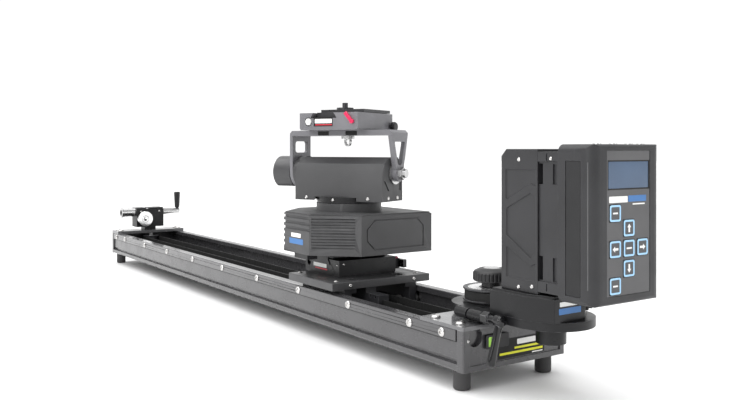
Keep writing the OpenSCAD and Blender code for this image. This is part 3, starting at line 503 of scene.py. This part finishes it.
def carriage_hardware():
    """Screws of the carriage plate and its quick release, and the red release button."""
    shape = Shape()
    lo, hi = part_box("carriage_plate")
    middle = (lo.z + hi.z) / 2
    for side in (-1, 1):
        screw(shape, (hi.x, side * 41 * MM, middle), X_AXIS, 1.9 * MM, 0.9)
        screw(shape, (lo.x, side * 41 * MM, middle), -X_AXIS, 1.9 * MM, 0.9)
        for x in (lo.x + 7 * MM, hi.x - 11 * MM):
            screw(shape, (x, side * 52 * MM, hi.z), Z_AXIS, 2.5 * MM, 0.9)
    qr_lo, qr_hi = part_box("lower_qr_base")
    screw(shape, (qr_lo.x + 0.94 * (qr_hi.x - qr_lo.x), qr_lo.y, qr_lo.z + 13 * MM), -Y_AXIS,
          1.1 * MM, 0.5)
    screw(shape, (qr_hi.x, qr_lo.y + 6 * MM, qr_lo.z + 14 * MM), X_AXIS, 1.1 * MM, 0.5)
    shape.piece("small_screws_carriage", "screw_steel", "carriage")
    button = Shape()
    button.turned(scaled((0, 0), (2.2, 0), (2.8, 0.8), (2.8, 2.2), (1.6, 3.2), (0, 3.4)),
                  facing(qr_hi - Vector((6.4, 3.4, 3.4)) * MM, X_AXIS))
    button.piece("release_button", "red_lever", "carriage")


def head_hardware():
    """Screws of the tilt body and the turntable."""
    shape = Shape()
    u0, u1 = head_span("tilt_body", TILT_AXIS)
    v0, v1 = head_span("tilt_body", CROSS_AXIS)
    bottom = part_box("tilt_body")[0].z / MM
    for u in (u0 + 15.4, u1 - 18):
        for v, way in ((v0, -1), (v1, 1)):
            screw(shape, on_head(u, v, bottom + 2.9), CROSS_AXIS * way, 2.0 * MM, 0.9)
    for v in (v0 + 13.5, v1 - 11.5):
        screw(shape, on_head(u1, v, bottom + 3.5), TILT_AXIS, 2.2 * MM, 0.7)
    lo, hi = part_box("turntable")
    radius = (hi.x - lo.x) / 2
    for i in range(6):
        angle = math.radians(60 * i - 62)
        out = Vector((math.cos(angle), math.sin(angle), 0))
        place = PAN_POINT + out * radius
        screw(shape, (place.x, place.y, hi.z - 2.9 * MM), out, 1.7 * MM, 0.8)
    shape.piece("small_screws_head", "screw_steel", "pan_head")


# ---------- belts and pulleys ----------
def belt_path(start, start_radius, end, end_radius, step):
    """Points of a belt's inner face round two pulleys, each with its outward direction and
    whether it lies on a pulley."""
    gap = (end - start).length
    lean = math.acos((start_radius - end_radius) / gap)
    path = []

    def arc(centre, radius, first, last):
        count = max(8, round(radius * abs(last - first) / step))
        for i in range(count):
            angle = first + (last - first) * i / count
            out = Vector((math.cos(angle), math.sin(angle), 0))
            path.append((centre + out * radius, out, True))

    def run(angle, low, high):
        out = Vector((math.cos(angle), math.sin(angle), 0))
        count = round((high - low).length / step)
        for i in range(count):
            path.append((low.lerp(high, i / count), out, False))

    leave = [Vector((math.cos(a), math.sin(a), 0)) for a in (lean, -lean)]
    arc(start, start_radius, lean, math.tau - lean)
    run(-lean, start + leave[1] * start_radius, end + leave[1] * end_radius)
    arc(end, end_radius, -lean, lean)
    run(lean, end + leave[0] * end_radius, start + leave[0] * start_radius)
    return path


def toothed_belt(name, node_name, start, start_radius, end, end_radius, tooth):
    """A belt with square teeth on its inner face, shallow where they mesh with a pulley."""
    lo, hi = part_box(node_name)
    thick, meshed, step = 1.4 * MM, 0.2 * MM, 1.25 * MM
    path = belt_path(start.xy.to_3d(), start_radius, end.xy.to_3d(), end_radius, step)
    verts, faces = [], []
    for i, (place, out, on_pulley) in enumerate(path):
        depth = 0.0
        if i % 4 < 2:
            depth = meshed if on_pulley else tooth
        inner = place - out * depth
        outer = place + out * thick
        verts += [(*inner.xy, lo.z), (*outer.xy, lo.z), (*outer.xy, hi.z), (*inner.xy, hi.z)]
    count = len(path)
    for i in range(count):
        a, b = 4 * i, 4 * ((i + 1) % count)
        faces += [[a + k, b + k, b + (k + 1) % 4, a + (k + 1) % 4] for k in range(4)]
    shape = Shape()
    shape.add(verts, faces, Matrix())
    belt = shape.piece(name, "belt_rubber", "bed", 0.05 * MM, False)
    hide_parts(node_name)


def drive_parts():
    """Belts, the teeth of the input pulley and its bright index disc."""
    toothed_belt("main_belt", "drive_belt", IDLER_POINT, BELT_PULLEY, DRIVE_POINT, BELT_PULLEY,
                 0.3 * MM)
    toothed_belt("motor_belt", "short_belt", DRIVE_POINT, INPUT_PULLEY, PINION_POINT,
                 PINION_PULLEY, 1.0 * MM)
    lo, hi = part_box("input_pulley")
    axis = Matrix.Translation(DRIVE_POINT.xy.to_3d())
    teeth = Shape()
    tooth = scaled((22.3, -0.55), (22.74, -0.4), (22.74, 0.4), (22.3, 0.55))
    for i in range(INPUT_TEETH):
        teeth.cut(tooth, lo.z + 1.7 * MM, hi.z - 1.7 * MM, spun(axis, i, INPUT_TEETH))
    teeth.piece("input_pulley_teeth", "black_anodised", "drive", 0.03 * MM, False)
    disc = Shape()
    level = hi.z - 1.2 * MM
    disc.ring(circle(21.3 * MM, 64), circle(11.2 * MM, 64), level, level + 0.95 * MM, axis)
    disc.piece("index_disc", "index_silver", "drive", 0.2 * MM)
    marks = Shape()
    for i in range(INDEX_MARKS):
        inner = 18.4 if i % 3 == 0 else 19.6
        mark = scaled((inner, -0.12), (20.8, -0.12), (20.8, 0.12), (inner, 0.12))
        marks.cut(mark, level + 0.9 * MM, level + 1.0 * MM, spun(axis, i, INDEX_MARKS))
    marks.piece("index_marks", "print_black", "drive", 0.01 * MM, False)


# Half widths of the clamp lever, each at a share of its length
LEVER_SWELL = ((-0.02, 4.2), (0.12, 3.7), (0.3, 3.4), (0.55, 3.5), (0.78, 3.9), (0.93, 4.2),
               (1.0, 4.2), (1.05, 3.7), (1.09, 2.7), (1.115, 1.2))
LEVER_THICK = 2.7
# Forms turned about the clamp bolt: corners, and their radii and heights from the bolt's outer end
CLAMP_HEXAGON = (6, ((0, -23.7), (4.6, -23.7), (5.2, -23.1), (5.2, -16.3), (4.6, -15.7),
                     (0, -15.7)))
CLAMP_FERRULE = (32, ((0, -16), (3.2, -15.7), (3.2, -9), (4.4, -8.4), (5.0, -6.6), (5.0, -1.8),
                      (4.2, -0.6), (2.4, -0.1), (0, -0.1)))


def lever_outline(centre, across, half):
    """Points round the clamp lever at one place along it."""
    steps = 24
    thick = LEVER_THICK * min(1.0, half / 3.0)
    points = []
    for i in range(steps):
        angle = math.tau * i / steps
        wide = half * math.cos(angle) * (1 - 0.06 * math.cos(4 * angle))
        points.append(centre + (across * wide + X_AXIS * thick * math.sin(angle)) * MM)
    return points


def clamp_handle_shape():
    """The clamp bolt with its hexagon, ferrule and rounded lever, which swells at its end."""
    lo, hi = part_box("clamp_lever")
    pivot = Vector(JOINTS["clamp_lever_turn"]["pos_m"])
    tip = Vector((hi.x - 4.3 * MM, lo.y + 4.6 * MM, lo.z + 4.6 * MM))
    start = Vector((tip.x, pivot.y, pivot.z))
    reach = (hi.x - lo.x) / MM
    outer_end = facing((hi.x, pivot.y, pivot.z), X_AXIS, Z_AXIS)
    shank = (24, ((0, -reach), (2.5, -reach), (2.5, -23.7), (0, -23.7)))
    shape = Shape()
    for steps, profile in (shank, CLAMP_HEXAGON, CLAMP_FERRULE):
        shape.turned(scaled(*profile), outer_end, steps)
    across = X_AXIS.cross((tip - start).normalized()).normalized()
    shape.lofted([lever_outline(start + (tip - start) * share, across, half)
                  for share, half in LEVER_SWELL])
    lever = shape.piece("clamp_lever_shape", "lever_black", "lever", 0.1 * MM)
    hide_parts("clamp_lever")


def knob_top():
    """The bright cap in the middle of the brake knob."""
    cap = Shape()
    top = Matrix.Translation((DRIVE_POINT.x, DRIVE_POINT.y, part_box("brake_knob")[1].z))
    cap.turned(scaled((0, -0.6), (7.4, -0.6), (7.4, -0.2), (6.8, 0.1), (0, 0.15)), top, 40)
    cap.piece("knob_cap", "steel", "knob", 0.05 * MM)


# ---------- printed marks ----------
def printed(name, finish, body, outlines, place, thick=0.08):
    """Flat marks on a face. The place lies on the face, with its Z pointing out of it."""
    shape = Shape()
    for outline in outlines:
        shape.cut(outline, PRINT_ROOT, thick * MM, place)
    return shape.piece(name, finish, body, PRINT_EDGE, False)


def bar(x0, x1, y0, y1, radius=0.25):
    """A flat bar with round corners, from millimetres."""
    centre = ((x0 + x1) / 2 * MM, (y0 + y1) / 2 * MM)
    return rounded((x1 - x0) * MM, (y1 - y0) * MM, radius * MM, 3, centre)


def arrow(angle):
    """An arrow 6 mm long that points up, turned by an angle."""
    half = [(0, 3.1), (2.1, 0.5), (0.85, 0.5), (0.85, -3.1)]
    outline = half + [(-x, y) for x, y in half[:0:-1]]
    cos, sin = math.cos(math.radians(angle)), math.sin(math.radians(angle))
    return scaled(*[(x * cos - y * sin, x * sin + y * cos) for x, y in outline])


KEY_MARKS = {"key_up": [arrow(0)], "key_left": [arrow(90)], "key_down": [arrow(180)],
             "key_right": [arrow(-90)], "key_menu": [bar(-2.6, 2.6, -0.6, 0.6)],
             "key_enter": [bar(-2.9, 2.9, -0.6, 0.6)], "key_shift": [bar(-2.6, 2.6, -0.6, 0.6)]}


def key_prints():
    """Pale blue borders and white marks on the seven keys."""
    for key, marks in KEY_MARKS.items():
        lo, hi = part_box(key)
        place = end_face(hi.x, (lo.y + hi.y) / 2, (lo.z + hi.z) / 2)
        outer, inner = hi.y - lo.y - 0.3 * MM, hi.y - lo.y - 3.1 * MM
        border = Shape()
        border.ring(rounded(outer, outer, 1.7 * MM, 6), rounded(inner, inner, 0.7 * MM, 6),
                    PRINT_ROOT, 0.10 * MM, place)
        border.piece(key + "_border", "print_sky", key, PRINT_EDGE, False)
        printed(key + "_mark", "print_white", key, marks, place, 0.12)


def handset_foil(front, screen_lo, screen_hi):
    """The grey foil on the handset's front, cut out round the keys and the display."""
    gap = 0.35 * MM
    low = Vector((0, screen_lo.y - 1.2 * MM, PAD_LO.z + 6.8 * MM))
    high = Vector((0, screen_hi.y + 0.4 * MM, PAD_HI.z - 4.8 * MM))
    holes = [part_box(key) for key in KEY_MARKS] + [(screen_lo, screen_hi)]
    ys = sorted({low.y, high.y} | {value for a, b in holes for value in (a.y - gap, b.y + gap)})
    zs = sorted({low.z, high.z} | {value for a, b in holes for value in (a.z - gap, b.z + gap)})
    ys = [y for y in ys if low.y <= y <= high.y]
    zs = [z for z in zs if low.z <= z <= high.z]
    foil = Shape()
    for y0, y1 in zip(ys, ys[1:]):
        for z0, z1 in zip(zs, zs[1:]):
            y, z = (y0 + y1) / 2, (z0 + z1) / 2
            if any(a.y - gap < y < b.y + gap and a.z - gap < z < b.z + gap for a, b in holes):
                continue
            foil.cut([(y0, z0), (y1, z0), (y1, z1), (y0, z1)], PRINT_ROOT, FOIL, end_face(front))
    unrounded = 0.0001 * MM
    foil.piece("handset_foil", "panel_grey", "bed", unrounded, False)


def handset_panel():
    """The front foil, the display's rim and the stripes below the display."""
    front = PAD_HI.x - 0.5 * MM
    screen_lo, screen_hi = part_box("lcd_screen")
    handset_foil(front, screen_lo, screen_hi)
    centre = ((screen_lo.y + screen_hi.y) / 2, (screen_lo.z + screen_hi.z) / 2)
    width, height = screen_hi.y - screen_lo.y, screen_hi.z - screen_lo.z
    rim_wide = 1.4 * MM
    rim = Shape()
    rim.ring(rounded(width, height, 0.6 * MM, 4, centre),
             rounded(width - rim_wide, height - rim_wide, 0.5 * MM, 4, centre), 0.0, 0.3 * MM,
             end_face(screen_hi.x))
    rim.piece("display_rim", "print_black", "bed", 0.04 * MM, False)
    place = end_face(front + FOIL, screen_lo.y, screen_lo.z)
    printed("handset_stripe_white", "print_white", "bed",
            [bar(1.3, 21.8, -9.6, -5.0, 0.5), bar(27.5, 41.5, -11.6, -10.6)], place)
    printed("handset_stripe_blue", "print_blue", "bed", [bar(22.6, 43, -9.3, -4.7, 0.5)], place)


def handset_sides():
    """Rubber grips in the side recesses, and beside each a thin light grey rod on the rounded corner, a painted
    highlight.
    """
    grip_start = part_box("handset_back")[0].x
    x0, x1 = grip_start + 7.5 * MM, grip_start + 21.1 * MM
    z0, z1 = PAD_LO.z + 6.5 * MM, PAD_HI.z - 12.5 * MM
    lean = math.radians(62)
    grips, glint_rods = Shape(), Shape()
    for way, face in ((-1, PAD_LO.y), (1, PAD_HI.y)):
        centre = ((x0 + x1) / 2, -way * (z0 + z1) / 2)
        grips.cut(rounded(x1 - x0, z1 - z0, 1.2 * MM, 4, centre), -0.8 * MM, -0.15 * MM,
                  facing((0, face, 0), Y_AXIS * way, X_AXIS))
        # The light grey rod on the rounded corner paints the highlight along that corner.
        corner = Vector((PAD_HI.x - 11 * MM, face - way * 11 * MM, PAD_LO.z + 12 * MM))
        spot = corner + Vector((math.cos(lean), way * math.sin(lean), 0)) * 10.85 * MM
        glint_rods.turned(scaled((0, 0), (0.42, 0.4), (0.42, 91.6), (0, 92)), Matrix.Translation(spot),
                    10)
    grips.piece("handset_grips", "grip_rubber", "bed", 0.2 * MM)
    glint_rods.piece("handset_glint_rods", "panel_grey", "bed", 0.02 * MM)


def handset_sockets():
    """Small sockets along the handset's top and bottom edges."""
    profile = scaled((0, -0.6), (1.9, -0.6), (1.9, -0.1), (2.1, 0.5), (3.1, 0.5), (3.3, -0.3))
    sockets = Shape()
    for level, way in ((PAD_HI.z, 1), (PAD_LO.z, -1)):
        for y in (-26, -8, 10, 24):
            sockets.turned(profile, facing((PAD_HI.x - 12 * MM, y * MM, level), Z_AXIS * way))
    sockets.piece("handset_sockets", "steel", "bed", 0.05 * MM)


def end_cap_label():
    """Plain stripes on the near end cap."""
    place = end_face(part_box("end_cap_near")[1].x - 1.2 * MM)
    printed("end_label_black", "print_black", "bed", [bar(-21, 35, 5.6, 22.4, 0.6)], place, 0.04)
    printed("end_label_yellow", "print_yellow", "bed",
            [bar(-18.5, 33, 8.6, 10.6), bar(-1, 33, 12.4, 14.2)], place)
    printed("end_label_white", "print_white", "bed",
            [bar(2, 33, 16, 20.6, 0.8), bar(20, 33, 6.4, 7.4)], place)


def level_vial():
    """The green vial of the level, with its holder, lines and bubble."""
    lo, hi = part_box("bubble_level")
    face = end_face(hi.x)
    centre = ((lo.y + hi.y) / 2, (lo.z + hi.z) / 2)
    width, height = hi.y - lo.y, hi.z - lo.z
    window_width, window_height = 0.6 * width - 3.4 * MM, height - 3.3 * MM
    window_y = lo.y + 2.8 * MM + window_width / 2
    window = rounded(window_width, window_height, 1.0 * MM, 5, (window_y, centre[1]))
    vial = Shape()
    vial.cut(window, -0.2 * MM, 0.05 * MM, face)
    vial.piece("level_vial", "level_green", "bed", PRINT_EDGE)
    holder = Shape()
    holder.ring(rounded(width, height, 1.2 * MM, 5, centre), window, -0.2 * MM, 0.6 * MM, face)
    holder.piece("level_holder", "knob_plastic", "bed", 0.15 * MM)
    lines = [rounded(0.35 * MM, window_height, 0.1 * MM, 2, (window_y + shift * MM, centre[1]))
             for shift in (-2.4, 2.4)]
    printed("level_lines", "print_black", "bed", lines, face, 0.12)
    bubble = Shape()
    bubble.turned(scaled((0, 0), (0.9, 0.25), (1.2, 0.9), (1.2, 2.6), (0.9, 3.25), (0, 3.5)),
                  facing((hi.x - 0.5 * MM, window_y - 1.75 * MM, centre[1]), Y_AXIS), 16)
    bubble.piece("level_bubble", "print_white", "bed", 0.05 * MM)


def box_label():
    """Plain patches and a small connector at the end of the motor housing."""
    lo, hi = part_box("motor_box")
    place = end_face(hi.x, 0, lo.z)
    printed("box_patch_white", "print_white", "bed", [bar(-21, 0.5, 12.6, 16.2, 0.5)], place)
    printed("box_patch_blue", "print_blue", "bed", [bar(-22, 3, 6.4, 11.2, 0.5)], place)
    chamfer = facing((hi.x - 7.5 * MM, 17 * MM, lo.z + 9 * MM), Vector((28, 23, 0)), Z_AXIS)
    plug = Shape()
    plug.cut(rounded(7 * MM, 9 * MM, 0.8 * MM), -1.5 * MM, 2.6 * MM, chamfer)
    plug.cut(rounded(4.4 * MM, 5 * MM, 0.8 * MM), 2 * MM, 5.5 * MM, chamfer)
    plug.piece("box_connector", "knob_plastic", "bed", 0.2 * MM)


def carriage_labels():
    """Plain patches on the pan base and on the lower quick release, and a black mark of painted shade for a slot's
    opening.
    """
    place = facing(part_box("pan_base")[0] + Vector((50, 0, 0)) * MM, -Y_AXIS, X_AXIS)
    printed("pan_patch_white", "print_white", "carriage", [bar(7, 28, 17, 21.4, 0.5)], place)
    printed("pan_patch_blue", "print_blue", "carriage", [bar(3, 33, 9.6, 15.6, 0.5)], place)
    place = facing(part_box("lower_qr_base")[0], -Y_AXIS, X_AXIS)
    printed("lower_label_white", "print_white", "carriage", [bar(18, 46, 7.6, 12.6, 0.6)], place)
    printed("lower_label_red", "print_red", "carriage", [bar(22, 47, 5.4, 6.6)], place)
    # A black slanted mark paints the shade inside a slot of the lower quick release.
    opening_shade = scaled((54, 13), (57.5, 13), (64, 6), (60.5, 6))
    printed("lower_opening_shade", "print_black", "carriage", [opening_shade], place, 0.06)


def head_labels():
    """Plain patches on the upper quick release."""
    u0 = head_span("upper_qr_base", TILT_AXIS)[0]
    v0 = head_span("upper_qr_base", CROSS_AXIS)[0]
    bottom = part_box("upper_qr_base")[0].z / MM
    place = facing(on_head(u0, v0, bottom), -CROSS_AXIS, TILT_AXIS)
    printed("upper_label_black", "print_black", "tilt_yoke", [bar(19, 44, 4, 14, 0.6)], place,
            0.05)
    printed("upper_label_white", "print_white", "tilt_yoke", [bar(20.4, 43, 7.4, 12.2, 0.8)],
            place, 0.1)
    printed("upper_label_red", "print_red", "tilt_yoke", [bar(21, 43, 5.2, 6.4)], place, 0.1)


def side_knob():
    """The knurled knob at the end of the upper quick release."""
    ridges = 24
    u1 = head_span("upper_qr_base", TILT_AXIS)[1]
    v1 = head_span("upper_qr_base", CROSS_AXIS)[1]
    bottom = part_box("upper_qr_base")[0].z / MM
    place = facing(on_head(u1, v1 - 4.4, bottom + 4.6), TILT_AXIS, Z_AXIS)
    knob = Shape()
    knob.turned(scaled((0, -0.5), (2.6, -0.5), (2.6, 1.6), (5, 2.0), (5.2, 6.4), (4.4, 7.4),
                       (0, 7.6)), place, 36)
    ridge = scaled((5.0, -0.28), (5.45, -0.12), (5.45, 0.12), (5.0, 0.28))
    for i in range(ridges):
        knob.cut(ridge, 2.3 * MM, 6.2 * MM, spun(place, i, ridges))
    knob.piece("upper_side_knob", "knob_plastic", "tilt_yoke", SMALL_EDGE)


def bridge_notch_shades():
    """Black blocks filling the two notches in the front edge of the yoke's bridge, as painted shade."""
    v0 = head_span("yoke", CROSS_AXIS)[0]
    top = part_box("yoke")[1].z / MM
    outline = scaled((0, 0), (14.6, 0), (14.6, 4.7), (0, 4.7))
    notch_shades = Shape()
    for u in (-28.8, 8.2):
        notch_shades.cut(outline, 0.0, 2.7 * MM,
                 facing(on_head(u, v0 + 3.05, top - 5.7), -CROSS_AXIS, TILT_AXIS))
    notch_shades.piece("bridge_notch_shades", "print_black", "tilt_yoke", 0.2 * MM)


dress_cad_pieces()
bed_hardware()
bed_shadow_lines()
carriage_hardware()
head_hardware()
drive_parts()
knob_top()
clamp_handle_shape()
key_prints()
handset_panel()
handset_sides()
handset_sockets()
end_cap_label()
level_vial()
box_label()
carriage_labels()
head_labels()
side_knob()
bridge_notch_shades()


# ---------- camera, floor and light ----------
CAMERA_PLACE = Vector((0.98605, -0.49527, 0.18418))
SIGHT = Vector((-0.8225, 0.5687, 0.0))
LENS = 38.66
LENS_SHIFT = -0.0671
FLOOR_RADIUS = 14.0
# Strength of the studio's light on the camera's own side, and behind the slider
CAMERA_SIDE = 0.45
FAR_SIDE = 1.05


def camera():
    """The photograph's viewpoint: level, with the lens shifted down."""
    data = bpy.data.cameras.new("camera")
    data.sensor_width = 36.0
    data.lens = LENS
    data.shift_y = LENS_SHIFT
    data.clip_start = 0.05
    data.clip_end = 50.0
    obj = place_in_scene("camera", data)
    obj.location = CAMERA_PLACE
    obj.rotation_euler = SIGHT.to_track_quat("-Z", "Y").to_euler()
    bpy.context.scene.camera = obj


def floor():
    """A plain pale floor just under the feet."""
    steps = 96
    level = cad_lo.z - 0.0002
    mesh = bpy.data.meshes.new("floor")
    mesh.from_pydata([(x, y, level) for x, y in circle(FLOOR_RADIUS, steps)], [],
                     [list(range(steps))])
    mesh.materials.append(coated("floor_white", (0.93, 0.93, 0.93), 0.6, bump=0.02, mottle=0.01))
    place_in_scene("floor", mesh)


def soft_light(name, place, target, size, power):
    data = bpy.data.lights.new(name, "AREA")
    data.shape = "DISK"
    data.size = size
    data.energy = power
    obj = place_in_scene(name, data)
    obj.location = Vector(place)
    obj.rotation_euler = (Vector(target) - obj.location).to_track_quat("-Z", "Y").to_euler()


def top_light():
    """A wide soft light from above, for the shadow under the bed."""
    data = bpy.data.lights.new("top", "SUN")
    data.energy = 2.6
    data.angle = math.radians(70)
    obj = place_in_scene("top", data)
    obj.rotation_euler = (math.radians(18), math.radians(-8), 0)


def studio_world():
    """A white studio that is darker on the camera's own side."""
    world = bpy.data.worlds.new("studio")
    world.use_nodes = True
    tree = world.node_tree
    background = tree.nodes["Background"]
    place = tree.nodes.new("ShaderNodeTexCoord")
    dot = tree.nodes.new("ShaderNodeVectorMath")
    dot.operation = "DOT_PRODUCT"
    dot.inputs[1].default_value = SIGHT
    remap = tree.nodes.new("ShaderNodeMapRange")
    numbers = (("From Min", -0.6), ("From Max", 0.5), ("To Min", CAMERA_SIDE),
               ("To Max", FAR_SIDE))
    for socket, number in numbers:
        remap.inputs[socket].default_value = number
    tree.links.new(place.outputs["Generated"], dot.inputs[0])
    tree.links.new(dot.outputs["Value"], remap.inputs["Value"])
    tree.links.new(remap.outputs["Result"], background.inputs["Strength"])
    background.inputs["Color"].default_value = (1, 1, 1, 1)
    bpy.context.scene.world = world


def light():
    """The studio, a key light from the camera's left and a weaker light on the drive end."""
    studio_world()
    top_light()
    soft_light("key", (0.9, -1.8, 0.9), (0.2, 0, 0.1), 0.9, 13)
    soft_light("end", (2.2, 0.7, 0.7), (0.4, 0, 0.1), 1.0, 5)
    bpy.context.scene.view_settings.view_transform = "Standard"


camera()
floor()
light()
